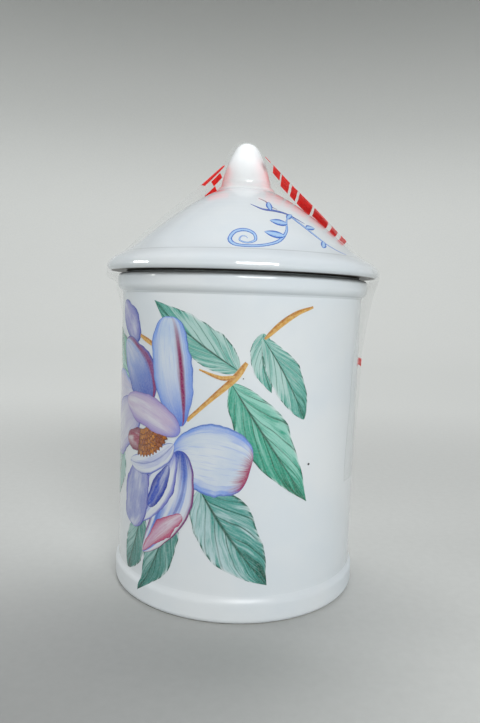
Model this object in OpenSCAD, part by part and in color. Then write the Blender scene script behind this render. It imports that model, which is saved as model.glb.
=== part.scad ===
// Porcelain apothecary jar: a straight-walled jar, a loose conical lid with a pointed knob,
// and the strip of clear packing tape that holds the lid down.
// The origin is the centre of the foot, +Z is up, and the painted side faces -Y.

/* [Jar] */
// Radius of the plain cylindrical wall, outside
wall_r = 53.2; // [45:0.1:60]
// Thickness of the wall
wall_t = 4.2; // [3:0.1:6]
// Height of the jar's top face, without the lid
jar_h = 136.4; // [110:0.1:170]
// Thickness of the floor
floor_t = 4.4; // [3:0.1:8]

/* [Foot] */
// How far the foot band stands out from the wall
foot_out = 1.3; // [0.5:0.1:3]
// Height of the foot band
foot_h = 9.8; // [6:0.1:16]
// Depth of the recess under the floor
foot_recess = 1.6; // [1:0.1:3]
// Width of the bare ring that the jar stands on
foot_ring_w = 5.5; // [3:0.1:8]

/* [Mouth] */
// How far the bead round the mouth stands out from the wall
bead_out = 2.3; // [1:0.1:4]
// Height of the bead
bead_h = 8.6; // [6:0.1:12]
// Width of the ring that the lid rests on
seat_w = 2.2; // [1.5:0.1:3]
// Depth of the step outside that ring, which shows as the dark line under the lid
seat_step = 0.8; // [0.3:0.1:1.2]

/* [Lid] */
// Radius of the rim
lid_r = 60; // [57:0.1:66]
// Height of the crown, where the knob stands, above the lid's underside
crown_h = 36.5; // [30:0.1:45]
// Radius of the flat that the knob stands on
crown_r = 13.4; // [12:0.1:16]
// Thickness of the shell
lid_t = 4.2; // [3:0.1:5]
// Depth of the flange inside the mouth
flange_d = 8; // [5:0.1:12]
// Clearance between the flange and the mouth
flange_gap = 1.1; // [0.5:0.1:2]
// Thickness of the flange
flange_t = 3.5; // [2.5:0.1:5]

/* [Knob] */
// Height of the knob above the crown
knob_h = 21.6; // [15:0.1:30]
// Radius of the rounded tip
knob_tip_r = 6.2; // [4:0.1:8]
// Radius of the cone at its foot
knob_r = 10.6; // [9:0.1:12]
// Height of the collar that spreads from the cone's foot to the crown
collar_h = 4.4; // [2:0.1:6]

/* [Tape] */
// Width of the tape
tape_w = 48; // [24:1:50]
// Thickness of the film, several times the real one so that it is a sound solid
tape_t = 0.25; // [0.2:0.05:0.5]
// Turn of the tape about the jar's axis, right end towards -Y
tape_turn = 6; // [0:1:20]
// Height at which the right tail ends
right_tail_end = 51; // [30:1:64]
// Height at which the left tail ends
left_tail_end = 48; // [30:1:90]

/* [Hidden] */
$fn = 180;

curve_steps = 12;          // segments along each curved stretch of a profile
mouth_r = wall_r - wall_t; // radius of the mouth and of the inside
foot_r = wall_r + foot_out;
bead_r = wall_r + bead_out;
seat_r = mouth_r + 0.5 + seat_w;
rest_gap = 0.1;            // between the lid and the ring it rests on
lid_z = jar_h + rest_gap;  // the lid's underside where it rests
lip_z = lid_z + 0.1;       // the lid's underside outside the ring
crown_z = lid_z + crown_h;
tip_z = crown_z + knob_h;
film_gap = 0.3;            // between the film and a rim or bead that it passes over
stuck_gap = 0.05;          // between the film and the wall that it is stuck to
slit = 0.3;                // between the tape on the lid and each tail
rim_steps = 6;             // segments of the tape's curve over the rim
ridge_steps = 8;           // segments of the tape's curve over the knob
lip_round = 1.8;           // rounding of the rim's lower edge
rim_top_r = lid_r - 7;     // where the rim's rounded edge meets the flare
rim_top_z = lid_z + 8.1;
rim_side_z = lid_z + 5;    // height that the rim's edge curves towards before it turns upright
flare_r = lid_r - 13.5;    // where the flare meets the cone
flare_z = lid_z + 12.7;

// Points along a cubic curve from p[0] to p[3], steered by p[1] and p[2], without the first point.
function bezier(p, n = curve_steps) = [for (i = [1:n]) let (t = i / n, s = 1 - t)
    s * s * s * p[0] + 3 * s * s * t * p[1] + 3 * s * t * t * p[2] + t * t * t * p[3]];

// Points along an arc about c, from angle a to angle b.
function arc(c, r, a, b, n = curve_steps) = [for (i = [0:n]) let (u = a + (b - a) * i / n)
    c + r * [cos(u), sin(u)]];

// A band of even thickness along a path in the r-z plane, standing on the path's right-hand side.
function band(path, t) = concat(path, [for (i = [len(path) - 1:-1:0])
    let (a = path[max(i - 1, 0)], b = path[min(i + 1, len(path) - 1)], d = (b - a) / norm(b - a))
    path[i] + t * [-d.y, d.x]]);

module jar_body() {
    bead_top_round = 2;
    bead_low_round = 3.4;
    foot_round = 2.4;
    band_soft = 2.2;
    inner_round = 7;
    ring_out = foot_r - foot_round;
    floor_z = foot_recess + floor_t;
    bead_z = jar_h - bead_h;
    color("white") rotate_extrude() polygon(concat(
        [[0, foot_recess], [ring_out - foot_ring_w - 1, foot_recess], [ring_out - foot_ring_w, 0]],
        // foot: rounded lower edge, upright band, soft swelling into the wall
        arc([ring_out, foot_round], foot_round, -90, 0),
        [[foot_r, foot_h - band_soft]],
        bezier([[foot_r, foot_h - band_soft], [foot_r, foot_h], [wall_r, foot_h - 0.4],
            [wall_r, foot_h + band_soft]]),
        // bead round the mouth
        [[wall_r, bead_z - 0.4]],
        arc([bead_r - bead_low_round, bead_z + bead_low_round], bead_low_round, -62, 0),
        arc([bead_r - bead_top_round, jar_h - seat_step - bead_top_round], bead_top_round, 0, 90),
        // step up to the ring that the lid rests on
        [[seat_r + 0.4, jar_h - seat_step], [seat_r, jar_h]],
        arc([mouth_r + 0.5, jar_h - 0.5], 0.5, 90, 180, 4),
        // inside
        arc([mouth_r - inner_round, floor_z + inner_round], inner_round, 0, -90),
        [[0, floor_z]]
    ));
}

module lid() {
    flange_r = mouth_r - flange_gap;
    flange_in = flange_r - flange_t;
    flange_low = lid_z - flange_d;
    hollow_z = lid_z + 4.5;
    cap_in_r = crown_r - 4;
    cap_in_z = crown_z - lid_t - 0.6;
    color("white") rotate_extrude() polygon(concat(
        [[0, crown_z], [crown_r, crown_z]],
        // shoulder and cone
        bezier([[crown_r, crown_z], [crown_r + 12.2, crown_z - 6.2], [flare_r - 11, flare_z + 10],
            [flare_r, flare_z]]),
        // flare out to the rim
        bezier([[flare_r, flare_z], [flare_r + 1.6, flare_z - 1.4], [rim_top_r - 2.2, rim_top_z + 1.2],
            [rim_top_r, rim_top_z]]),
        // rounded edge of the rim
        bezier([[rim_top_r, rim_top_z], [rim_top_r + 3.2, rim_top_z - 1.7], [lid_r - 0.5, rim_side_z],
            [lid_r, lip_z + lip_round]]),
        arc([lid_r - lip_round, lip_z + lip_round], lip_round, 0, -90, 8),
        // underside: lip, resting ring, flange
        [[seat_r + 0.3, lip_z], [seat_r, lid_z], [flange_r + 0.4, lid_z], [flange_r, lid_z - 0.6]],
        arc([flange_r - 1.2, flange_low + 1.2], 1.2, 0, -90, 6),
        arc([flange_in + 1.2, flange_low + 1.2], 1.2, -90, -180, 6),
        // hollow inside
        [[flange_in, hollow_z]],
        bezier([[flange_in, hollow_z], [flange_in - 10, hollow_z + 9], [cap_in_r + 12, cap_in_z - 5],
            [cap_in_r, cap_in_z]]),
        [[0, cap_in_z]]
    ));
}

module lid_knob() {
    collar_r = crown_r - 0.5;
    foot_z = crown_z + collar_h;
    tip_c = tip_z - knob_tip_r;
    tip_lean = 35; // where the tip's arc meets the flank, above the horizontal
    tip_end = [knob_tip_r * cos(tip_lean), tip_c + knob_tip_r * sin(tip_lean)];
    color("white") rotate_extrude() polygon(concat(
        // collar, spreading from the cone's foot
        [[0, crown_z], [collar_r - 0.2, crown_z], [collar_r, crown_z + 0.5]],
        bezier([[collar_r, crown_z + 0.5], [collar_r - 0.5, crown_z + 1.9], [knob_r + 0.2, crown_z + 1.9],
            [knob_r + 0.2, foot_z]]),
        // cone
        bezier([[knob_r, foot_z + 0.2], [knob_r - 1, foot_z + 5.4],
            tip_end + 4 * [sin(tip_lean), -cos(tip_lean)], tip_end]),
        arc([0, tip_c], knob_tip_r, tip_lean, 90)
    ));
}

// The tape on the lid is a sheet of strands, each one in a plane across the tape at its own y.
// gap is the sheet's distance from the porcelain.

// The rim's rounded edge as the sheet passes over it, as points of radius and height.
function over_rim(gap) = concat(
    [[rim_top_r + 0.5 * gap, rim_top_z + 0.9 * gap]],
    bezier([[rim_top_r + 0.5 * gap, rim_top_z + 0.9 * gap],
        [rim_top_r + 3.2 + 0.6 * gap, rim_top_z - 1.7 + 0.9 * gap],
        [lid_r - 0.5 + gap, rim_side_z + 0.4 * gap], [lid_r + gap, lip_z + lip_round]], rim_steps),
    [[lid_r + gap, lip_z]]);

// One strand from the left rim over the ridge to the right one. The ridge sinks towards the tape's
// edges just as far as keeps every strand at one slope, because the rim is round.
function strand(y, gap) = let (
    rim = over_rim(gap),
    ridge_r = knob_tip_r + gap,
    ridge_z = tip_z - knob_tip_r,
    away = [rim[0].x, rim[0].y - ridge_z],
    lean = atan2(away.y, away.x) + acos(ridge_r / norm(away)),
    sink = (rim[0].x - sqrt(rim[0].x * rim[0].x - y * y)) / tan(lean),
    ridge = arc([0, ridge_z - sink], ridge_r, 180 - lean, lean, ridge_steps),
    right = [for (p = rim) [sqrt(p.x * p.x - y * y), p.y]],
    left = [for (i = [len(right) - 1:-1:0]) [-right[i].x, right[i].y]])
    [for (p = concat(left, ridge, right)) [p.x, y, p.y]];

// Two triangles for the four corners a, b, c, d of a patch.
function patch(a, b, c, d) = [[a, b, c], [a, c, d]];

module tape_over_lid() {
    strands = 8;
    inside = [for (j = [0:strands]) strand(tape_w * (j / strands - 0.5), film_gap)];
    outside = [for (j = [0:strands]) strand(tape_w * (j / strands - 0.5), film_gap + tape_t)];
    n = len(inside[0]);
    lift = n * (strands + 1);
    points = [for (sheet = [inside, outside]) for (s = sheet) for (p = s) p];
    sheets = [for (j = [0:strands - 1]) for (i = [0:n - 2]) let (a = j * n + i) for (f = concat(
        patch(a, a + 1, a + n + 1, a + n),
        patch(lift + a, lift + a + n, lift + a + n + 1, lift + a + 1))) f];
    long_edges = [for (i = [0:n - 2]) let (b = strands * n + i) for (f = concat(
        patch(i, i + lift, i + 1 + lift, i + 1),
        patch(b, b + 1, b + 1 + lift, b + lift))) f];
    ends = [for (j = [0:strands - 1]) let (a = j * n, b = j * n + n - 1) for (f = concat(
        patch(a, a + n, a + n + lift, a + lift),
        patch(b, b + lift, b + n + lift, b + n))) f];
    color("lightgray") rotate([0, 0, -tape_turn])
        polyhedron(points, concat(sheets, long_edges, ends), convexity = 6);
}

// A tail: the band along a path, turned about the axis and cut to the tape's width.
module tail(path, side) {
    color("lightgray") rotate([0, 0, -tape_turn]) intersection() {
        rotate_extrude() polygon(band(path, -tape_t));
        translate([side > 0 ? 0 : -80, -tape_w / 2, 0]) cube([80, tape_w, 150]);
    }
}

module tape_tail_right() {
    top = lip_z - slit;
    wall = wall_r + stuck_gap + tape_t;
    // stuck at its end, then standing further and further off the wall
    tail([[wall, right_tail_end], [wall, 66], [wall + 0.8, 88], [wall + 0.8, 99], [wall + 2, 113.5],
        [bead_r + 2.1, 127.5], [lid_r + film_gap, top]], 1);
}

module tape_tail_left() {
    top = lip_z - slit;
    wall = wall_r + stuck_gap + tape_t;
    bead = bead_r + film_gap + tape_t;
    tail([[wall, left_tail_end], [wall, 115], [wall + 0.5, 119], [bead - 0.4, 127.5], [bead, 130.6],
        [lid_r - 1.2, 133.4], [lid_r + film_gap, top]], -1);
}

jar_body();
lid();
lid_knob();
tape_over_lid();
tape_tail_left();
tape_tail_right();
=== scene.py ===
"""Looks of a hand-painted porcelain jar with a loose lid, taped shut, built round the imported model.

The painting is made of thin closed shapes laid on the glaze. Their places are given in millimetres:
on the wall as (round, height), the distance round the wall from the front and the height above the
table, and on the lid as (x, y) seen from above. The tape is a thin film with its own wrinkles.
"""
import math

import bmesh
import bpy
from mathutils import Matrix, Vector, noise
from mathutils.bvhtree import BVHTree


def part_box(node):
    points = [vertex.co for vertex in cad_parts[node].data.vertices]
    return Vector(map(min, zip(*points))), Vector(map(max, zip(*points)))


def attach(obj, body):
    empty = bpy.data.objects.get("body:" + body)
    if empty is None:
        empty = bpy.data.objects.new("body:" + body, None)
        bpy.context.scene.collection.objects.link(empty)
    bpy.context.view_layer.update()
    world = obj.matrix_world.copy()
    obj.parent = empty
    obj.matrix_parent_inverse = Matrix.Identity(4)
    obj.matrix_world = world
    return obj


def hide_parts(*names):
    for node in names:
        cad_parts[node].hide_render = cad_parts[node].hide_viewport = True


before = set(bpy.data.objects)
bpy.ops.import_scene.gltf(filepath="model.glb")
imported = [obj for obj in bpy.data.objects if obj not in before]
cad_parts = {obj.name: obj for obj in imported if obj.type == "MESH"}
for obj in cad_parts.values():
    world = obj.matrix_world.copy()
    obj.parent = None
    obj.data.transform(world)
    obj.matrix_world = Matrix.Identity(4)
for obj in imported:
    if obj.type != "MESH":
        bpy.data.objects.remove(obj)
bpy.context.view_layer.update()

MM = 0.001


# ------------------------------------------------------------------ camera, stage and light

def make_camera():
    """The camera is close, just below the lid's rim, looks a little down and isn't quite upright."""
    distance, height = 283.4 * MM, 125.6 * MM
    pitch, roll = math.radians(5.66), math.radians(2.0)
    forward = Vector((0, math.cos(pitch), -math.sin(pitch)))
    side = Vector((1, 0, 0))
    up = side.cross(forward)
    right = side * math.cos(roll) + up * math.sin(roll)
    top = up * math.cos(roll) - side * math.sin(roll)
    cam = bpy.data.objects.new("camera", bpy.data.cameras.new("camera"))
    cam.data.sensor_width = 36
    cam.data.lens = 30.9
    cam.data.clip_start = 0.01
    turn = Matrix((right, top, -forward)).transposed().to_4x4()
    cam.matrix_world = Matrix.Translation((0, -distance, height)) @ turn
    bpy.context.scene.collection.objects.link(cam)
    bpy.context.scene.camera = cam


def hang_lamp(light, place, aim, mirrored):
    """Hangs a light at a place; one that isn't mirrored lights the scene but gives no glints."""
    lamp = bpy.data.objects.new(light.name, light)
    lamp.location = place
    lamp.rotation_euler = (Vector(aim) - Vector(place)).to_track_quat("-Z", "Y").to_euler()
    lamp.visible_camera = False
    lamp.visible_glossy = mirrored
    bpy.context.scene.collection.objects.link(lamp)


def area_light(name, place, aim, size, watts, mirrored=True):
    light = bpy.data.lights.new(name, "AREA")
    light.shape = "RECTANGLE"
    light.size, light.size_y = size
    light.energy = watts
    hang_lamp(light, place, aim, mirrored)


def narrow_spot(name, place, aim, degrees, watts):
    light = bpy.data.lights.new(name, "SPOT")
    light.spot_size = math.radians(degrees)
    light.spot_blend = 0.7
    light.shadow_soft_size = 0.01
    light.energy = watts
    hang_lamp(light, place, aim, mirrored=False)


def make_stage():
    """A round floor that curves up into a wall, the same from every side."""
    sides = 96
    flat_r, bend_r, wall_h = 1.1, 0.7, 1.2
    bend = [math.pi / 2 * i / 16 for i in range(1, 17)]
    profile = [(flat_r * i / 12, 0) for i in range(1, 13)]
    profile += [(flat_r + bend_r * math.sin(a), bend_r * (1 - math.cos(a))) for a in bend]
    profile += [(flat_r + bend_r, bend_r + wall_h * i / 4) for i in range(1, 5)]
    turns = [2 * math.pi * k / sides for k in range(sides)]
    mesh = bmesh.new()
    centre = mesh.verts.new((0, 0, 0))
    loops = [[mesh.verts.new((r * math.cos(a), r * math.sin(a), z)) for a in turns] for r, z in profile]
    for k in range(sides):
        mesh.faces.new((centre, loops[0][k], loops[0][k - sides + 1]))
    for low, high in zip(loops, loops[1:]):
        for k in range(sides):
            mesh.faces.new((low[k], high[k], high[k - sides + 1], low[k - sides + 1]))
    floor = finished(mesh, "stage_floor")
    floor.data.materials.append(paper())


def make_light():
    """Two lamps that give the glints, from the front and from the left, and three that give none."""
    world = bpy.data.worlds.new("studio")
    world.use_nodes = True
    sky = world.node_tree.nodes["Background"]
    sky.inputs["Color"].default_value = (0.93, 0.97, 1.0, 1)
    sky.inputs["Strength"].default_value = 0.11
    bpy.context.scene.world = world
    area_light("key", (0.20, -0.945, 0.65), (0, 0, 0.12), (0.60, 0.20), 6.7)
    area_light("side", (-1.037, 0.04, 0.497), (0, 0, 0.12), (0.30, 0.12), 1.7)
    area_light("backdrop", (0.0, 0.85, 2.4), (0.0, 1.25, 0.2), (1.6, 1.0), 34, mirrored=False)
    area_light("front_wall", (0.0, -1.1, 1.0), (0.0, -1.8, 0.7), (1.6, 0.8), 4.5, mirrored=False)
    narrow_spot("knob_light", (0.05, -0.75, 0.55), (0, 0, 0.192), 1.7, 16)


# ------------------------------------------------------------------ node trees

def rgb(red, green, blue):
    """A colour given in the usual 0 to 255 steps, as Blender's linear values."""
    def linear(step):
        c = step / 255
        return c / 12.92 if c <= 0.04045 else ((c + 0.055) / 1.055) ** 2.4
    return (linear(red), linear(green), linear(blue), 1)


class Look:
    """A material under construction. Most methods add nodes and return the socket that they give."""

    def __init__(self, name):
        self.mat = bpy.data.materials.new(name)
        self.mat.use_nodes = True
        self.tree = self.mat.node_tree
        self.shader = self.tree.nodes["Principled BSDF"]

    def plug(self, socket, value):
        if isinstance(value, bpy.types.NodeSocket):
            self.tree.links.new(value, socket)
        else:
            socket.default_value = value

    def node(self, kind, inputs=(), **settings):
        made = self.tree.nodes.new(kind)
        for key, value in settings.items():
            setattr(made, key, value)
        for key, value in dict(inputs).items():
            self.plug(made.inputs[key], value)
        return made

    def set(self, **values):
        """Sets the shader's inputs; an underscore in a name stands for a space."""
        for key, value in values.items():
            self.plug(self.shader.inputs[key.replace("_", " ")], value)

    def math(self, operation, a, b=0.0):
        return self.node("ShaderNodeMath", {0: a, 1: b}, operation=operation).outputs[0]

    def add(self, a, b):
        return self.math("ADD", a, b)

    def times(self, a, b):
        return self.math("MULTIPLY", a, b)

    def ramp(self, value, low, high, to_low=0.0, to_high=1.0):
        """Smooth change from to_low to to_high as value goes from low to high."""
        return self.node("ShaderNodeMapRange", {
            "Value": value, "From Min": low, "From Max": high, "To Min": to_low, "To Max": to_high,
        }, interpolation_type="SMOOTHSTEP").outputs["Result"]

    def mix(self, amount, a, b):
        return self.node("ShaderNodeMix", {0: amount, 6: a, 7: b}, data_type="RGBA").outputs[2]

    def place(self):
        return self.node("ShaderNodeTexCoord").outputs["Object"]

    def split(self, vector):
        return self.node("ShaderNodeSeparateXYZ", {"Vector": vector}).outputs

    def joined(self, x, y, z=0.0):
        return self.node("ShaderNodeCombineXYZ", {"X": x, "Y": y, "Z": z}).outputs["Vector"]

    def stretched(self, where, scale):
        return self.node("ShaderNodeMapping", {"Vector": where, "Scale": scale}).outputs["Vector"]

    def noise(self, where, scale, detail=2.0, roughness=0.5):
        return self.node("ShaderNodeTexNoise", {
            "Vector": where, "Scale": scale, "Detail": detail, "Roughness": roughness}).outputs["Fac"]

    def jitter(self, value, size):
        """A noise value turned into an offset of at most half of size either way."""
        return self.times(self.math("SUBTRACT", value, 0.5), size)

    def bump(self, height, strength, distance):
        made = self.node("ShaderNodeBump", {"Height": height, "Strength": strength, "Distance": distance})
        self.plug(self.shader.inputs["Normal"], made.outputs["Normal"])


def paper():
    """Pale paper with a fine grain and a few crumbs, with painted shade: greyer up the wall, a little greyer
    towards the front and in a soft pool at the front left.
    """
    look = Look("pale_paper")
    where = look.place()
    coords = look.split(where)
    grain = look.noise(where, 260, 3, 0.6)
    colour = look.mix(grain, rgb(218, 220, 218), rgb(228, 230, 228))
    # painted shade: the paper is greyer higher up the wall
    colour = look.mix(look.ramp(coords["Z"], 0.35, 1.30, 0, 0.85), colour, rgb(100, 102, 100))
    # painted shade: a soft round pool at the front left, and a little greyer towards the front
    from_shade = look.node("ShaderNodeVectorMath", {0: where, 1: (-0.16, -0.24, 0)}, operation="DISTANCE")
    shade = look.ramp(from_shade.outputs["Value"], 0.12, 0.30, 0.52, 1)
    pale = look.times(shade, look.ramp(coords["Y"], 0.15, 0.5, 0.82, 1))
    colour = look.mix(pale, rgb(10, 14, 16), colour)
    cell = look.node("ShaderNodeTexVoronoi", {"Vector": where, "Scale": 26, "Randomness": 1})
    rare = look.math("GREATER_THAN", look.noise(cell.outputs["Position"], 90, 0), 0.60)
    crumb = look.times(look.ramp(cell.outputs["Distance"], 0.0, 0.022, 1, 0), rare)
    colour = look.mix(look.times(crumb, 0.8), colour, rgb(110, 108, 104))
    look.set(Base_Color=colour, Roughness=0.8)
    look.bump(grain, 0.08, 0.0005)
    return look.mat


WHITE = rgb(236, 241, 244)
LILAC, SKY, BLUE = rgb(200, 196, 224), rgb(104, 150, 236), rgb(34, 70, 180)
VIOLET, ROSE, CRIMSON = rgb(96, 100, 200), rgb(188, 40, 100), rgb(140, 6, 88)


def glaze_ripple(look, where):
    """Fired glaze is never quite flat: slow waves, and a much finer orange peel."""
    slow = look.noise(look.stretched(where, (1, 1, 0.6)), 40, 1)
    fine = look.noise(where, 800, 2)
    look.bump(look.add(slow, look.times(fine, 0.03)), 0.3, 0.0005)


def porcelain(name, white, cloud_tint):
    """White glazed porcelain: faint tints, firing specks, bare bisque where it stood and where it seats, and
    painted shade: a grey line round the lid's rim and a near-black seat ring.
    """
    look = Look(name)
    scuff_top, clean_from = 10 * MM, 14 * MM      # the foot's glaze is scuffed dull
    crease_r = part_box("lid")[1].x - 6.9 * MM      # a faint grey line painted round the lid's rim, as shade in the crease
    crease_from = 142 * MM                        # and there is none below this height
    seat_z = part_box("jar_body")[1].z              # the ring that the lid rests on is bare, and painted near-black as shade in the gap
    seat_in, seat_out = 47.5 * MM, 58.5 * MM
    where = look.place()
    x, y, height = look.split(where)
    radius = look.node("ShaderNodeVectorMath", {0: look.joined(x, y)}, operation="LENGTH").outputs["Value"]
    cloud = look.noise(where, 24, 3, 0.55)
    colour = look.mix(look.ramp(cloud, 0.35, 0.7), white, cloud_tint)
    cell = look.node("ShaderNodeTexVoronoi", {"Vector": where, "Scale": 70, "Randomness": 1})
    rare = look.math("GREATER_THAN", look.noise(cell.outputs["Position"], 300, 0), 0.68)
    speck = look.times(look.ramp(cell.outputs["Distance"], 0.006, 0.030, 1, 0), rare)
    colour = look.mix(speck, colour, rgb(52, 46, 42))
    # painted shade: a faint grey line in the crease round the lid's rim
    crease = look.math("ABSOLUTE", look.math("SUBTRACT", radius, crease_r))
    crease = look.ramp(crease, 0.0001, 0.0005, 1, 0)
    crease = look.times(crease, look.math("GREATER_THAN", height, crease_from))
    colour = look.mix(look.times(crease, look.ramp(cloud, 0.3, 0.6, 0.1, 0.4)), colour, rgb(168, 176, 178))
    standing = look.ramp(height, 0.00015, 0.0006, 1, 0)
    seat_bare_and_shaded = look.ramp(height, seat_z - 0.0003, seat_z - 0.0001)
    seat_bare_and_shaded = look.times(seat_bare_and_shaded, look.ramp(height, seat_z + 0.0002, seat_z + 0.0006, 1, 0))
    seat_bare_and_shaded = look.times(seat_bare_and_shaded, look.ramp(radius, seat_out + 0.0005, seat_out - 0.0005))
    seat_bare_and_shaded = look.times(seat_bare_and_shaded, look.ramp(radius, seat_in - 0.0005, seat_in + 0.0005))
    bare = look.math("MAXIMUM", standing, seat_bare_and_shaded)
    scuffed = look.ramp(height, clean_from, scuff_top)
    grit = look.noise(where, 1500, 3)
    bisque = look.mix(grit, rgb(150, 142, 128), rgb(190, 182, 168))
    # painted shade: the bare seat ring is darkened near-black, standing for the shadow in the gap under the
    # lid's rim
    bisque = look.mix(look.times(seat_bare_and_shaded, 0.85), bisque, rgb(44, 40, 36))
    look.set(Base_Color=look.mix(bare, colour, bisque), IOR=1.52,
             Roughness=look.math("MAXIMUM", look.ramp(bare, 0, 1, 0.08, 0.75), look.times(scuffed, 0.34)),
             Coat_Weight=look.ramp(scuffed, 0, 1, 0.3, 0), Coat_Roughness=0.03)
    glaze_ripple(look, where)
    return look.mat


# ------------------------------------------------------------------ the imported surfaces

def surface_of(node):
    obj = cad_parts[node]
    return BVHTree.FromPolygons([v.co for v in obj.data.vertices], [p.vertices for p in obj.data.polygons])


class Turned:
    """The outer outline of a turned node, read from its mesh once and then interpolated."""

    def __init__(self, node, from_above):
        low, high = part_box(node)
        tree = surface_of(node)
        self.step = 0.25 * MM
        self.start = 0.0 if from_above else low.z
        end = high.x if from_above else high.z
        self.values = []
        for i in range(int((end - self.start) / self.step)):
            at = self.start + (i + 0.5) * self.step
            if from_above:
                self.values.append(tree.ray_cast(Vector((at, 0, high.z + 0.01)), Vector((0, 0, -1)))[0].z)
            else:
                self.values.append(tree.ray_cast(Vector((high.x + 0.01, 0, at)), Vector((-1, 0, 0)))[0].x)

    def at(self, place):
        where = (place - self.start) / self.step - 0.5
        where = min(max(where, 0.0), len(self.values) - 1.001)
        i = int(where)
        return self.values[i] + (self.values[i + 1] - self.values[i]) * (where - i)


jar_outline = Turned("jar_body", from_above=False)
lid_outline = Turned("lid", from_above=True)
WALL_R = jar_outline.at(70 * MM)


def on_wall(round_mm, height_mm, lift):
    turn = round_mm * MM / WALL_R
    r = jar_outline.at(height_mm * MM) + lift
    return Vector((r * math.sin(turn), -r * math.cos(turn), height_mm * MM))


def on_lid(x_mm, y_mm, lift):
    r = math.hypot(x_mm, y_mm) * MM
    step = 0.5 * MM
    slope = (lid_outline.at(r + step) - lid_outline.at(r - step)) / (2 * step)
    out = Vector((x_mm, y_mm, 0)).normalized()
    normal = (Vector((0, 0, 1)) - slope * out).normalized()
    return Vector((x_mm * MM, y_mm * MM, lid_outline.at(r))) + normal * lift


# ------------------------------------------------------------------ meshes

def finished(mesh, name):
    """Turns a bmesh into a smooth object with outward faces."""
    bmesh.ops.recalc_face_normals(mesh, faces=mesh.faces)
    data = bpy.data.meshes.new(name)
    mesh.to_mesh(data)
    mesh.free()
    for face in data.polygons:
        face.use_smooth = True
    obj = bpy.data.objects.new(name, data)
    bpy.context.scene.collection.objects.link(obj)
    return obj


def closed_sheet(name, top, bottom, coords):
    """A closed thin shape from two equal grids of points, with coords as its "paint" UV map."""
    rows, cols = len(top), len(top[0])
    mesh = bmesh.new()
    layer = mesh.loops.layers.uv.new("paint")
    upper = [[mesh.verts.new(p) for p in row] for row in top]
    lower = [[mesh.verts.new(p) for p in row] for row in bottom]
    spot = {}
    for grid in (upper, lower):
        for i in range(rows):
            for j in range(cols):
                spot[grid[i][j]] = coords[i][j]
    for i in range(rows - 1):
        for j in range(cols - 1):
            mesh.faces.new((upper[i][j], upper[i + 1][j], upper[i + 1][j + 1], upper[i][j + 1]))
            mesh.faces.new((lower[i][j], lower[i][j + 1], lower[i + 1][j + 1], lower[i + 1][j]))
    edge = [(i, 0) for i in range(rows)] + [(rows - 1, j) for j in range(1, cols)]
    edge += [(i, cols - 1) for i in range(rows - 2, -1, -1)] + [(0, j) for j in range(cols - 2, 0, -1)]
    for (i, j), (k, m) in zip(edge, edge[1:] + edge[:1]):
        mesh.faces.new((upper[i][j], lower[i][j], lower[k][m], upper[k][m]))
        mesh.edges.get((upper[i][j], upper[k][m])).smooth = False
    for face in mesh.faces:
        for loop in face.loops:
            loop[layer].uv = spot[loop.vert]
    return finished(mesh, name)


def even_coords(rows, cols):
    return [[(i / (rows - 1), j / (cols - 1)) for j in range(cols)] for i in range(rows)]


class Painting:
    """Lays painted shapes on a surface, each one a hair above the one before."""
    first, step, sunk = 0.05 * MM, 0.010 * MM, -0.02 * MM

    def __init__(self, surface, body):
        self.surface, self.body = surface, body
        self.lift = self.first

    def lay(self, name, grid, material):
        top = [[self.surface(x, y, self.lift) for x, y in row] for row in grid]
        bottom = [[self.surface(x, y, self.sunk) for x, y in row] for row in grid]
        obj = closed_sheet(name, top, bottom, even_coords(len(grid), len(grid[0])))
        obj.data.materials.append(material)
        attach(obj, self.body)
        self.lift += self.step


def blade(base, tip, half, bend=0.0, foot=0.7, point=0.9, right=1.0, left=1.0, ragged=0.0, seed=0.0,
          rows=70, cols=22):
    """A leaf or petal along a spine that is bent sideways.

    Its width grows from the base as the foot power of the way along, and shrinks to the tip by the
    point power: powers near 1 give a pointed end, and small ones a round end. right and left scale
    the two halves. ragged is how unsteady the margin is, as a share of half.
    """
    base, tip = Vector(base), Vector(tip)
    ahead = tip - base
    side = Vector((-ahead.y, ahead.x)).normalized()
    knee = (base + tip) / 2 + side * bend
    widest = foot / (foot + point)
    most = widest ** foot * (1 - widest) ** point
    grid = []
    for i in range(rows):
        t = 0.002 + 0.996 * (1 - math.cos(math.pi * i / (rows - 1))) / 2
        spine = base * (1 - t) ** 2 + knee * 2 * t * (1 - t) + tip * t * t
        way = ((knee - base) * (1 - t) + (tip - knee) * t).normalized()
        across = Vector((-way.y, way.x))
        width = half * t ** foot * (1 - t) ** point / most
        row = []
        for j in range(cols):
            v = 2 * j / (cols - 1) - 1
            slow = noise.noise(Vector((t * 3.5, math.copysign(3, v), seed)))
            quick = noise.noise(Vector((t * 12, math.copysign(3, v), seed + 5)))
            unsteady = 1 + ragged * (slow * 1.5 + quick * 0.5) * v * v
            row.append(tuple(spine + across * v * width * (left if v > 0 else right) * unsteady))
        grid.append(row)
    return grid


def stroke(points, width, rise=0.5, thin=0.12, rows=60, cols=5):
    """A brush stroke through a few points: a smooth path, widest at rise and thin at its ends."""
    path = smooth_path([Vector(p) for p in points], rows)
    grid = []
    for i, at in enumerate(path):
        t = i / (rows - 1)
        way = (path[min(i + 1, rows - 1)] - path[max(i - 1, 0)]).normalized()
        across = Vector((-way.y, way.x))
        swell = max(math.sin(math.pi * t ** (math.log(0.5) / math.log(rise))), 0.0)
        half = width / 2 * (thin + (1 - thin) * swell)
        grid.append([tuple(at + across * half * (2 * j / (cols - 1) - 1)) for j in range(cols)])
    return grid


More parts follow.
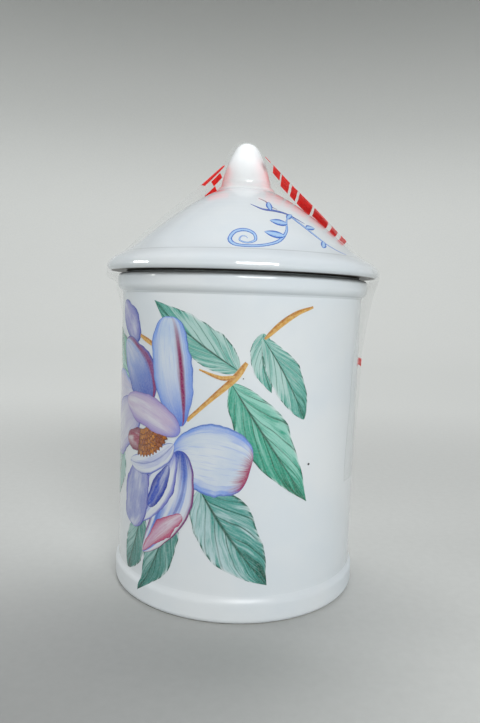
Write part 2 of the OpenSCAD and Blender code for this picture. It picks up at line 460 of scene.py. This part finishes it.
def fan(centre, low_r, high_r, start, end, rows=14, cols=40):
    """Part of a ring about centre, with angles in degrees."""
    grid = []
    for i in range(rows):
        row = []
        for j in range(cols):
            angle = math.radians(start + (end - start) * j / (cols - 1))
            frill = 0.6 * math.sin(j * 1.9) * i / (rows - 1)
            r = low_r + (high_r - low_r) * i / (rows - 1) + frill
            row.append((centre[0] + r * math.cos(angle), centre[1] + r * math.sin(angle)))
        grid.append(row)
    return grid


def smooth_path(points, count):
    """count points on a Catmull-Rom curve through the given ones."""
    ends = [points[0] * 2 - points[1]] + points + [points[-1] * 2 - points[-2]]
    spans = len(points) - 1
    path = []
    for i in range(count):
        t = spans * i / (count - 1)
        k = min(int(t), spans - 1)
        t -= k
        a, b, c, d = ends[k:k + 4]
        path.append(0.5 * (2 * b + (c - a) * t + (2 * a - 5 * b + 4 * c - d) * t ** 2
                           + (3 * b - a - 3 * c + d) * t ** 3))
    return path


# ------------------------------------------------------------------ paints

class Paint(Look):
    """Overglaze paint, with the painted shape's own coordinates: along and across both run from 0 to 1."""

    def __init__(self, name, seed=0.0):
        super().__init__(name)
        uv = self.node("ShaderNodeUVMap", uv_map="paint").outputs["UV"]
        place = self.split(uv)
        self.along, self.across = place["X"], place["Y"]
        self.uv = self.node("ShaderNodeVectorMath", {0: uv, 1: (seed, seed * 0.7, seed)},
                            operation="ADD").outputs["Vector"]
        twice = self.math("SUBTRACT", self.times(self.across, 2.0), 1.0)
        self.side = self.math("ABSOLUTE", twice)

    def streaks(self, along, across, detail=3.0):
        return self.noise(self.stretched(self.uv, (along, across, 1)), 1.0, detail, 0.6)

    def done(self, colour):
        """Adds the brushwork's fine mottling and the glaze over it."""
        where = self.place()
        mottle = self.noise(where, 1400, 2, 0.6)
        colour = self.mix(self.ramp(mottle, 0.35, 0.85, 0, 0.13), colour, WHITE)
        self.set(Base_Color=colour, Roughness=0.14, IOR=1.52, Coat_Weight=0.3, Coat_Roughness=0.05)
        glaze_ripple(self, where)
        return self.mat


def leaf_paint(name, light, middle, dark, veins=9, slant=0.30, shaded=1, seed=0.0):
    """A pale wash with brush lines along the side veins, one darker half, a dark tip and a midrib.

    slant is how far the veins lean forward, and shaded picks the darker half: 1 or -1.
    """
    paint = Paint(name, seed)
    soft = paint.streaks(1.6, 1.6, 2)
    lean = paint.times(paint.math("POWER", paint.side, 0.8), slant)
    order = paint.times(paint.math("SUBTRACT", paint.along, lean), veins)
    order = paint.add(order, paint.jitter(soft, 1.1))
    half = paint.times(paint.math("GREATER_THAN", paint.across, 0.5), 3.0)
    along_veins = paint.joined(order, paint.times(paint.side, 0.5), paint.add(half, seed))
    brush = paint.noise(along_veins, 1.9, 4, 0.65)
    along_veins = paint.joined(order, paint.times(paint.side, 0.3), paint.add(half, seed + 4))
    fine = paint.noise(along_veins, 6.0, 3, 0.6)
    dark_half = paint.ramp(paint.times(paint.math("SUBTRACT", paint.across, 0.5), shaded), -0.03, 0.04)
    depth = paint.add(paint.times(dark_half, 0.26), paint.ramp(paint.along, 0.45, 1.0, 0, 0.70))
    depth = paint.add(depth, paint.ramp(paint.side, 0.35, 0.0, 0, 0.12))
    tone = paint.add(paint.jitter(brush, 1.9), paint.add(depth, 0.12))
    tone = paint.add(tone, paint.jitter(fine, 0.8))
    colour = paint.mix(paint.ramp(tone, 0.0, 0.55), light, middle)
    colour = paint.mix(paint.ramp(tone, 0.50, 1.05), colour, dark)
    gap = paint.math("ABSOLUTE", paint.math("SUBTRACT", paint.math("FRACT", order), 0.5))
    vein = paint.times(paint.ramp(gap, 0.0, 0.10, 1, 0), paint.ramp(soft, 0.35, 0.6, 0.2, 0.85))
    colour = paint.mix(vein, colour, dark)
    rib = paint.times(paint.ramp(paint.side, 0.01, 0.08, 1, 0), paint.ramp(paint.along, 0.0, 0.9, 1, 0.7))
    colour = paint.mix(rib, colour, rgb(14, 76, 56))
    line = paint.times(paint.ramp(paint.side, 0.90, 0.97), paint.ramp(brush, 0.42, 0.60, 0.1, 0.9))
    colour = paint.mix(line, colour, rgb(18, 86, 66))
    fade = paint.times(paint.ramp(paint.side, 0.84, 1.0), paint.ramp(brush, 0.55, 0.40, 0, 0.7))
    return paint.done(paint.mix(fade, colour, WHITE))


def petal_paint(name, heart, rim, rim_width=0.45, outline=0.8, base=None, base_reach=0.35,
                stripe=None, blush=None, folds=0, seed=0.0):
    """A pale petal: a coloured rim that fades inwards in fine strokes, with a drawn outline.

    base is a colour that rises from the petal's foot. stripe is (place across, width, colour), a
    band of strokes along the petal. blush is (colour, place along, lean), hatching in from the tip.
    folds is how many pale folds run along it.
    """
    paint = Paint("paint_" + name, seed)
    streak = paint.streaks(3.0, 26)
    soft = paint.streaks(2.6, 2.6, 3)
    edge = paint.math("MAXIMUM", paint.side, paint.ramp(paint.along, 0.80, 1.0))
    reach = paint.add(edge, paint.add(paint.jitter(streak, 0.35), paint.jitter(soft, 0.8)))
    colour = paint.mix(paint.ramp(soft, 0.35, 0.7, 0, 0.6), heart, WHITE)
    colour = paint.mix(paint.ramp(streak, 0.52, 0.75, 0, 0.35), colour, rim)
    colour = paint.mix(paint.ramp(reach, 1 - rim_width, 1.08, 0, 0.95), colour, rim)
    if folds:
        wave = paint.times(paint.across, folds * 2 * math.pi)
        wave = paint.add(wave, paint.jitter(paint.streaks(1.5, 4), 5.0))
        colour = paint.mix(paint.ramp(paint.math("SINE", wave), 0.0, 0.9, 0, 0.75), colour, WHITE)
        colour = paint.mix(paint.ramp(paint.math("SINE", wave), -0.6, -1.0, 0, 0.5), colour, BLUE)
    if base:
        foot = paint.add(paint.along, paint.jitter(streak, 0.3))
        colour = paint.mix(paint.ramp(foot, base_reach, 0.05, 0, 0.95), colour, base)
    if stripe:
        middle, width, tint = stripe
        away = paint.math("ABSOLUTE", paint.math("SUBTRACT", paint.across, middle))
        away = paint.add(away, paint.jitter(streak, width * 0.9))
        band = paint.ramp(away, width * 0.2, width, 1, 0)
        band = paint.times(band, paint.ramp(paint.along, 0.98, 0.55, 0.15, 1))
        colour = paint.mix(paint.times(band, paint.ramp(soft, 0.3, 0.5, 0.7, 1)), colour, tint)
    if blush:
        tint, start, lean = blush
        reach = paint.add(paint.along, paint.times(paint.math("SUBTRACT", paint.across, 0.5), lean))
        reach = paint.add(reach, paint.jitter(paint.streaks(4, 40), 0.3))
        colour = paint.mix(paint.ramp(reach, start, start + 0.22, 0, 0.95), colour, tint)
    line = paint.times(paint.ramp(edge, 0.925, 0.985, 0, outline), paint.ramp(soft, 0.3, 0.6, 0.3, 1))
    return paint.done(paint.mix(line, colour, paint.mix(0.5, rim, rgb(30, 40, 120))))


def bark_paint():
    paint = Paint("paint_bark")
    streak = paint.streaks(14, 2.5)
    colour = paint.mix(paint.ramp(streak, 0.35, 0.7), rgb(228, 186, 104), rgb(206, 142, 50))
    under = paint.times(paint.ramp(paint.across, 0.45, 0.95), paint.ramp(streak, 0.4, 0.6, 0.4, 1))
    colour = paint.mix(under, colour, rgb(168, 84, 12))
    return paint.done(paint.mix(paint.ramp(paint.side, 0.75, 1.0, 0, 0.5), colour, rgb(236, 214, 170)))


def stamen_paint():
    """Rows of amber dabs with dark brown between them."""
    paint = Paint("paint_stamens")
    wobble = paint.jitter(paint.streaks(6, 6), 0.12)
    where = paint.joined(paint.times(paint.add(paint.across, wobble), 9.0),
                         paint.times(paint.add(paint.along, wobble), 5.0))
    dabs = paint.node("ShaderNodeTexBrick", {
        "Vector": where, "Color1": rgb(214, 138, 34), "Color2": rgb(162, 82, 8),
        "Mortar": rgb(104, 44, 8), "Scale": 1.0, "Mortar Size": 0.16, "Mortar Smooth": 0.8,
        "Brick Width": 1.0, "Row Height": 1.0})
    shade = paint.ramp(paint.streaks(5, 5), 0.4, 0.65, 0, 0.75)
    colour = paint.mix(shade, dabs.outputs["Color"], rgb(128, 54, 8))
    return paint.done(paint.mix(paint.ramp(paint.side, 0.75, 1.0, 0, 0.8), colour, rgb(96, 36, 6)))


def scroll_paint(name, pale, deep):
    paint = Paint(name)
    edge = paint.add(paint.side, paint.jitter(paint.streaks(30, 4), 0.8))
    return paint.done(paint.mix(paint.ramp(edge, 0.30, 0.85), pale, deep))


# ------------------------------------------------------------------ the magnolia spray

def make_spray():
    """The painted spray. It keeps the layout and colours of the real jar's painting: it isn't generic."""
    wall = Painting(on_wall, "jar")

    def leaf(name, paint, *args, **shape):
        shape = {"foot": 0.66, "point": 1.10, "ragged": 0.11, "seed": wall.lift / MM * 40, **shape}
        wall.lay(name, blade(*args, **shape), paint)

    def petal(name, start, end, half, shape, **paint):
        shape = {"foot": 0.6, "point": 0.45, "ragged": 0.12, "seed": wall.lift / MM * 31, **shape}
        look = petal_paint(name, seed=wall.lift / MM * 9, **paint)
        wall.lay(name, blade(start, end, half, **shape), look)

    soft_leaf = leaf_paint("paint_leaf_soft", rgb(180, 216, 210), rgb(98, 178, 164), rgb(26, 112, 92),
                           seed=0.3)
    rich_leaf = leaf_paint("paint_leaf_rich", rgb(150, 214, 198), rgb(52, 166, 138), rgb(4, 96, 66),
                           veins=8, shaded=-1, seed=1.7)
    cool_leaf = leaf_paint("paint_leaf_cool", rgb(188, 218, 220), rgb(78, 162, 152), rgb(2, 80, 62),
                           veins=8, seed=2.9)
    dusk_leaf = leaf_paint("paint_leaf_dusk", rgb(152, 198, 192), rgb(70, 144, 134), rgb(14, 82, 70),
                           veins=9, seed=4.1)
    leaf("leaf_top", soft_leaf, (0, 99), (-37, 124.5), 8.2, bend=1.5, left=0.8)
    leaf("leaf_fold_back", soft_leaf, (8.5, 113.5), (12.5, 91), 4.8, bend=-3.5)
    leaf("leaf_fold_front", soft_leaf, (8, 112), (26.5, 80.5), 6.4, bend=2.0, foot=0.8, point=0.75)
    leaf("leaf_long", rich_leaf, (-3, 94.5), (29.5, 47.5), 9.2, bend=-1, foot=0.75)
    leaf("leaf_low", cool_leaf, (-14, 53), (13.5, 15.5), 12.2, bend=-2, point=1.05)
    leaf("leaf_left", dusk_leaf, (-42, 40), (-53, 11.5), 7.0, bend=2, foot=0.8, point=0.7)
    leaf("leaf_under", dusk_leaf, (-27, 42), (-42.5, 5.5), 8.0, bend=4)
    leaf("leaf_far", rich_leaf, (-54, 92), (-72, 112), 8, bend=-1)
    leaf("leaf_back", soft_leaf, (-60, 60), (-84, 36), 8.5, bend=3)

    bark = bark_paint()
    wall.lay("branch", stroke([(-20, 79), (-10.5, 88), (-2, 96), (2.6, 102.3)], 2.7, 0.7, 0.55), bark)
    wall.lay("branch_end", stroke([(9, 111.4), (15, 117), (21.5, 121.3), (28.5, 123.8)], 2.3, 0.4, 0.4),
             bark)
    wall.lay("twig", stroke([(-1.5, 96.8), (-7, 96.3), (-15.5, 99)], 1.8, 0.3, 0.3), bark)
    wall.lay("bud_stalk", stroke([(-46, 110.5), (-34, 106)], 2.0, 0.5, 0.5), bark)

    petal("bud", (-47, 107.5), (-62, 123), 6.2, {"bend": -2, "foot": 0.5, "point": 0.6},
          heart=rgb(150, 150, 212), rim=rgb(66, 84, 180), rim_width=0.6, base=BLUE)
    petal("petal_far_left", (-44, 84), (-84, 84), 12, {"bend": 3},
          heart=LILAC, rim=SKY, base=BLUE)
    petal("petal_left", (-38.5, 84), (-59, 107), 9.5, {"bend": -5, "foot": 0.5, "point": 0.6},
          heart=rgb(150, 176, 232), rim=BLUE, rim_width=0.4, base=BLUE, base_reach=0.8,
          stripe=(0.10, 0.12, CRIMSON))
    petal("petal_low_left", (-44, 80), (-74, 60), 11, {"bend": -4},
          heart=LILAC, rim=VIOLET, base=BLUE)
    petal("petal_up", (-22, 76.5), (-29, 118.5), 9.6,
          {"bend": 3.4, "foot": 0.62, "point": 0.42, "ragged": 0.14},
          heart=rgb(194, 214, 241), rim=SKY, rim_width=0.52, base=rgb(78, 122, 224), base_reach=0.58,
          stripe=(0.27, 0.10, CRIMSON))
    petal("petal_right", (-26, 64.5), (5.5, 62), 13.8,
          {"bend": 2.5, "foot": 0.46, "point": 0.34, "ragged": 0.09},
          heart=rgb(206, 220, 238), rim=SKY, rim_width=0.38, base=rgb(120, 154, 238), base_reach=0.34,
          blush=(rgb(164, 14, 80), 0.73, -0.16))
    petal("petal_down", (-22.5, 67), (-41, 22), 8.2, {"bend": 10, "foot": 0.5, "point": 0.75},
          heart=rgb(112, 148, 228), rim=CRIMSON, rim_width=0.30, base=BLUE, base_reach=0.40, folds=2.6)
    petal("petal_down_turn", (-21, 41.5), (-40.8, 22.4), 3.6,
          {"bend": -2.0, "foot": 0.5, "point": 0.8, "ragged": 0.3},
          heart=rgb(206, 160, 190), rim=ROSE, rim_width=0.75)
    petal("petal_cup", (-25.5, 66), (-45, 35), 6.4, {"bend": 5, "point": 0.6},
          heart=rgb(186, 198, 238), rim=VIOLET, rim_width=0.45, base=rgb(120, 130, 214), folds=1.6)
    petal("petal_cup_dark", (-27.5, 60.5), (-38, 42), 3.4, {"bend": 1.2},
          heart=rgb(40, 78, 196), rim=rgb(18, 46, 160), rim_width=0.8)
    petal("petal_low", (-43.5, 58.5), (-50.5, 31.5), 8.6, {"bend": 1.0, "foot": 0.4, "point": 0.32},
          heart=rgb(146, 156, 212), rim=rgb(80, 84, 190), rim_width=0.36, base=rgb(130, 130, 210))
    petal("petal_lip", (-25.5, 69), (-51.5, 58), 4.8, {"bend": 7.0, "point": 0.6},
          heart=rgb(196, 204, 234), rim=rgb(74, 98, 200), rim_width=0.6, folds=1.4)
    petal("petal_rose", (-38, 70), (-54.5, 67), 4.6, {"bend": 1.5, "point": 0.5},
          heart=rgb(158, 20, 72), rim=rgb(126, 4, 60), rim_width=0.8)
    wall.lay("stamens", fan((-43.5, 77.5), 5.0, 16.0, -98, -14), stamen_paint())
    petal("petal_front", (-23, 73.5), (-56, 82.5), 6.6, {"bend": -4.5, "foot": 0.5, "point": 0.5},
          heart=rgb(204, 188, 216), rim=rgb(156, 136, 204), rim_width=0.6, outline=0.8,
          base=rgb(130, 140, 222), base_reach=0.3)

    speck = scroll_paint("paint_speck", rgb(30, 28, 28), rgb(14, 12, 12))
    oval = {"foot": 0.5, "point": 0.5, "rows": 12, "cols": 7}
    wall.lay("speck_black", blade((29.35, 62.3), (29.95, 62.9), 0.33, **oval), speck)
    wall.lay("speck_small", blade((1.3, 96.2), (1.7, 96.5), 0.2, **oval), speck)


# ------------------------------------------------------------------ the scroll on the lid

def make_scroll():
    """A small vine drawn on the lid, with places as (degrees round from the front, radius)."""
    lid = Painting(on_lid, "lid")
    blue = scroll_paint("paint_scroll", rgb(176, 210, 248), rgb(40, 104, 206))
    dark = scroll_paint("paint_scroll_dark", rgb(110, 134, 206), rgb(58, 74, 160))
    brown = scroll_paint("paint_scroll_brown", rgb(170, 144, 164), rgb(110, 76, 96))

    def plan(points):
        return [(r * math.sin(math.radians(a)), -r * math.cos(math.radians(a))) for a, r in points]

    def line(name, paint, points, width, rise=0.5):
        lid.lay(name, stroke(plan(points), width, rise), paint)

    def leaflet(name, base, tip, half):
        lid.lay(name, blade(*plan([base, tip]), half, bend=half * 0.5, rows=24, cols=9), blue)

    curl = [(1.5, 47.0), (0.5, 46.0), (-1.5, 46.2), (-2.0, 48.2), (1.5, 49.4), (5.0, 47.8), (4.5, 44.6),
            (0, 43.0), (-5, 44.2), (-6.5, 48), (-2.5, 51), (6, 51), (15, 48.2), (22, 43), (26, 37.5),
            (31, 33.5)]
    line("scroll_curl", blue, curl, 1.7, 0.62)
    line("scroll_stem", dark, [(4, 28), (13, 31), (22, 31.5), (31, 33), (40, 37.5)], 1.3, 0.5)
    line("scroll_tail", blue, [(31, 33), (36, 38), (41, 44), (46, 49), (51, 52.5)], 1.2, 0.25)
    line("scroll_tendril", brown, [(13, 23), (19, 25.5), (20, 28.5), (25, 30.5)], 0.6)
    leaflet("scroll_leaf_a", (20, 45), (10, 43.5), 1.7)
    leaflet("scroll_leaf_b", (25.5, 38.5), (15, 37.5), 1.7)
    leaflet("scroll_leaf_c", (19, 31.3), (22, 25.5), 1.3)
    leaflet("scroll_leaf_d", (38, 40), (46, 39.5), 1.2)
    leaflet("scroll_leaf_e", (43, 46), (38, 49.5), 1.1)
    leaflet("scroll_leaf_f", (28, 36), (35, 33), 1.0)


# ------------------------------------------------------------------ the tape

HALF_TAPE, TAPE_TURN = 24.0, math.radians(6)
FILM = 0.07      # the film's thickness, mm
FILM_GAP = 0.35  # between the film and the porcelain that it passes over, mm


def bezier(p0, p1, p2, p3, count):
    points = []
    for i in range(count + 1):
        t = i / count
        s = 1 - t
        points.append(p0 * s ** 3 + p1 * 3 * s * s * t + p2 * 3 * s * t * t + p3 * t ** 3)
    return points


class Tent:
    """The tape over the lid: down from a ridge on the knob, straight to the rim, and over its edge.

    Each side's section is kept as (radius, height) points in mm: a ridge, a free slope and a rim. On
    the left the tape sticks to the knob's flank before it leaves it. The tape is gathered at the
    knob, and its edges sink there, because nothing holds them up.
    """
    ridge_count, slope_count, rim_count = 16, 29, 10

    def __init__(self):
        tip_r = 6.2
        rim_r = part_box("lid")[1].x / MM
        self.low_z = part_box("tape_over_lid")[0].z / MM
        centre = Vector((0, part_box("lid_knob")[1].z / MM - tip_r))
        r = tip_r + FILM_GAP
        top = Vector((rim_r - 7, lid_outline.at((rim_r - 7) * MM) / MM)) + Vector((0.5, 0.9)) * FILM_GAP
        self.foot_r = top.x
        away = top - centre
        lean = math.atan2(away.y, away.x) + math.acos(r / away.length)
        self.steep = math.tan(lean)
        self.rim = bezier(top, top + Vector((3.2, -1.7)), Vector((rim_r - 0.2, self.low_z + 4.9)),
                          Vector((rim_r + FILM_GAP, self.low_z + 1.8)), self.rim_count)
        self.rim.append(Vector((rim_r + FILM_GAP, self.low_z)))

        def arc(end, count):
            turns = [math.pi / 2 + (end - math.pi / 2) * i / count for i in range(count + 1)]
            return [centre + r * Vector((math.cos(a), math.sin(a))) for a in turns]

        flank = Vector((9.3, centre.y - 3.6))
        shoulder = arc(math.radians(35), self.ridge_count - 5)
        self.ridge = {1: arc(lean, self.ridge_count),
                      -1: shoulder + [shoulder[-1].lerp(flank, i / 5) for i in range(1, 6)]}
        self.slope_mm = {side: (top - ridge[-1]).length for side, ridge in self.ridge.items()}

    def section(self, side, y):
        """One side's section at a distance y across the tape."""
        sink = Vector((0, (self.foot_r - math.sqrt(self.foot_r ** 2 - y * y)) / self.steep + abs(y) * 0.12))
        ridge = [p - sink for p in self.ridge[side]]
        rim = [Vector((math.sqrt(p.x ** 2 - y * y), p.y)) for p in self.rim]
        count = self.slope_count + 1
        return ridge + [ridge[-1].lerp(rim[0], i / count) for i in range(1, count)] + rim

    def reach(self, place):
        """Half the tape's width: gathered on the knob, full at the rim."""
        share = min(max((abs(place) - self.ridge_count) / self.slope_count, 0.0), 1.0)
        return 11.5 + (HALF_TAPE - 11.5) * share ** 1.2

    def at(self, place, y, lift):
        """A point on the film: place counts section points from the ridge, negative to the left."""
        side = 1 if place >= 0 else -1
        section = self.section(side, y)
        where = abs(place)
        i = min(int(where), len(section) - 2)
        at = section[i].lerp(section[i + 1], where - i)
        way = (section[i + 1] - section[i]).normalized()
        free = min(max((where - self.ridge_count) / self.slope_count, 0.0), 1.0)
        hang = math.sin(math.pi * free)
        gather = y / self.reach(place)
        twist = 0.12 * math.sin(math.pi * free ** 0.6) * (y + 11)
        fold = 0.5 * hang * noise.noise(Vector((at.x * 0.06 * side, gather * 4.0, 3.1)))
        fold += 0.35 * hang * (1 - free) * noise.noise(Vector((side, gather * 9.0, 5.3)))
        at += Vector((-way.y, way.x)) * (fold - twist)
        r = math.hypot(at.x, y)
        if r < self.foot_r:
            at.y = max(at.y, lid_outline.at(r * MM) / MM + FILM_GAP)
        at += Vector((-way.y, way.x)) * lift
        return Matrix.Rotation(-TAPE_TURN, 3, "Z") @ Vector((at.x * side, y, at.y)) * MM

    def place_of(self, down_mm, side):
        """The place on a side's slope that is down_mm below the ridge's end."""
        return side * (self.ridge_count + down_mm / self.slope_mm[side] * (self.slope_count + 1))


class Tail:
    """A tape's tail: a path of (radius, height) points in mm, curved round the jar; place runs 0 to 1."""

    def __init__(self, points, side):
        self.path = smooth_path([Vector(p) for p in points], 160)
        self.side = side

    def at(self, place, y, lift):
        where = place * (len(self.path) - 1)
        i = min(int(where), len(self.path) - 2)
        at = self.path[i].lerp(self.path[i + 1], where - i)
        free = min(max(at.x - WALL_R / MM - 0.3, 0.0), 4.0)
        fold = 0.14 * free * noise.noise(Vector((y * 0.15, at.y * 0.05, 7.7 * self.side)))
        r = at.x + lift + fold
        turn = y / (WALL_R / MM)
        spot = Vector((self.side * r * math.cos(turn), r * math.sin(turn), at.y))
        return Matrix.Rotation(-TAPE_TURN, 3, "Z") @ spot * MM

    def reach(self, place):
        """Half the tape's width: a tail is as wide at every place."""
        return HALF_TAPE

    def place_of(self, height):
        nearest = min(range(len(self.path)), key=lambda i: abs(self.path[i].y - height))
        return nearest / (len(self.path) - 1)


def clear_film():
    look = Look("clear_film")
    where = look.place()
    crease = look.noise(look.stretched(where, (1, 1, 0.6)), 70, 2, 0.5)
    look.set(Base_Color=rgb(244, 246, 244), Roughness=look.ramp(crease, 0.3, 0.7, 0.10, 0.22), IOR=1.35,
             Alpha=look.ramp(crease, 0.30, 0.75, 0.07, 0.11))
    look.bump(crease, 0.3, 0.0008)
    return look.mat


def red_print_painted_glow():
    look = Look("red_print_painted_glow")
    where = look.place()
    cover = look.noise(where, 600, 3, 0.6)
    # the print's emission is a painted glow, standing for light that passes through the film and the ink
    look.set(Base_Color=look.mix(look.ramp(cover, 0.35, 0.6), rgb(250, 34, 18), rgb(214, 14, 8)),
             Roughness=0.6, IOR=1.3, Emission_Color=rgb(226, 16, 8), Emission_Strength=0.22)
    look.bump(cover, 0.15, 0.0002)
    return look.mat


def film_sheet(name, sheet, start, end, rows, body, node, film):
    """The film itself between two places along the tape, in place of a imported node."""
    cols = 25

    def grid(height):
        lines = []
        for i in range(rows):
            place = start + (end - start) * i / (rows - 1)
            reach = sheet.reach(place)
            lines.append([sheet.at(place, reach * (2 * j / (cols - 1) - 1), height) for j in range(cols)])
        return lines
    obj = closed_sheet(name, grid(FILM), grid(0), even_coords(rows, cols))
    obj.data.materials.append(film)
    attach(obj, body)
    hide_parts(node)


def print_bar(name, sheet, start, end, y_low, y_high, body, red):
    """A bar of print, seen through the film from both sides, so it stands a hair proud of each."""
    rows, cols, proud = 10, 14, 0.04

    def grid(height):
        places = [start + (end - start) * i / (rows - 1) for i in range(rows)]
        across = [y_low + (y_high - y_low) * j / (cols - 1) for j in range(cols)]
        return [[sheet.at(place, y, height) for y in across] for place in places]
    obj = closed_sheet(name, grid(FILM + proud), grid(-proud), even_coords(rows, cols))
    obj.data.materials.append(red)
    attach(obj, body)


# plain bars, each (from, to, low edge, high edge) in mm down the slope and across the tape
RIGHT_BARS = [(6.0, 9.4, -10, -6), (11.3, 15.8, -10, 5), (16.9, 21.8, -10, 9), (23.4, 26.8, -10, 9),
              (28.2, 36.2, -10, 9), (37.6, 46.2, -10, 7), (48.4, 52.0, -10, 6), (54.2, 57.4, -10, 5)]
LEFT_BARS = [(0.0, 12.6, -11, -4), (4.0, 9.5, -1, 4), (9.0, 15.5, 5, 9)]


def make_tape():
    tent = Tent()
    film = clear_film()
    last = tent.ridge_count + tent.slope_count + 1 + tent.rim_count + 1
    film_sheet("film_over_lid", tent, -last, last, 4 * last + 1, "lid", "tape_over_lid", film)

    wall = WALL_R / MM + 0.12
    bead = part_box("jar_body")[1].x / MM
    edge = tent.rim[-1].x
    top = (edge, tent.low_z - 0.3)
    low = {side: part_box("tape_tail_" + side)[0].z / MM for side in ("left", "right")}
    right = Tail([top, (bead + 2.2, 127.5), (wall + 2.6, 115), (wall + 1.2, 103), (wall + 1.0, 88),
                  (wall + 0.4, 72), (wall, 62), (wall, low["right"])], 1)
    left = Tail([top, (edge - 0.4, 133.8), (bead + 0.6, 131.4), (bead + 0.3, 129), (wall + 0.6, 121),
                 (wall, 113), (wall, 80), (wall, low["left"])], -1)
    film_sheet("film_tail_right", right, 0, 1, 110, "jar", "tape_tail_right", film)
    film_sheet("film_tail_left", left, 0, 1, 110, "jar", "tape_tail_left", film)

    red = red_print_painted_glow()
    for side, word, bars in ((1, "right", RIGHT_BARS), (-1, "left", LEFT_BARS)):
        for k, (start, end, y_low, y_high) in enumerate(bars):
            span = tent.place_of(start, side), tent.place_of(end, side)
            print_bar(f"print_{word}_{k}", tent, *span, y_low, y_high, "lid", red)
    print_bar("print_tail", right, right.place_of(101), right.place_of(98), -3, 6, "jar", red)


# ------------------------------------------------------------------ everything

def main():
    make_camera()
    make_stage()
    make_light()
    glaze = porcelain("glazed_porcelain", WHITE, rgb(228, 236, 242))
    # painted highlight: the knob takes a whiter copy of the same porcelain, so that it looks more brightly
    # lit than the lid
    lit_knob_glaze = porcelain("glazed_porcelain_knob_painted_bright", rgb(248, 250, 251), rgb(240, 244, 247))
    for node, look in (("jar_body", glaze), ("lid", glaze), ("lid_knob", lit_knob_glaze)):
        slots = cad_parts[node].data.materials
        slots.clear()
        slots.append(look)
    make_spray()
    make_scroll()
    make_tape()
    bpy.context.scene.view_settings.view_transform = "Standard"


main()
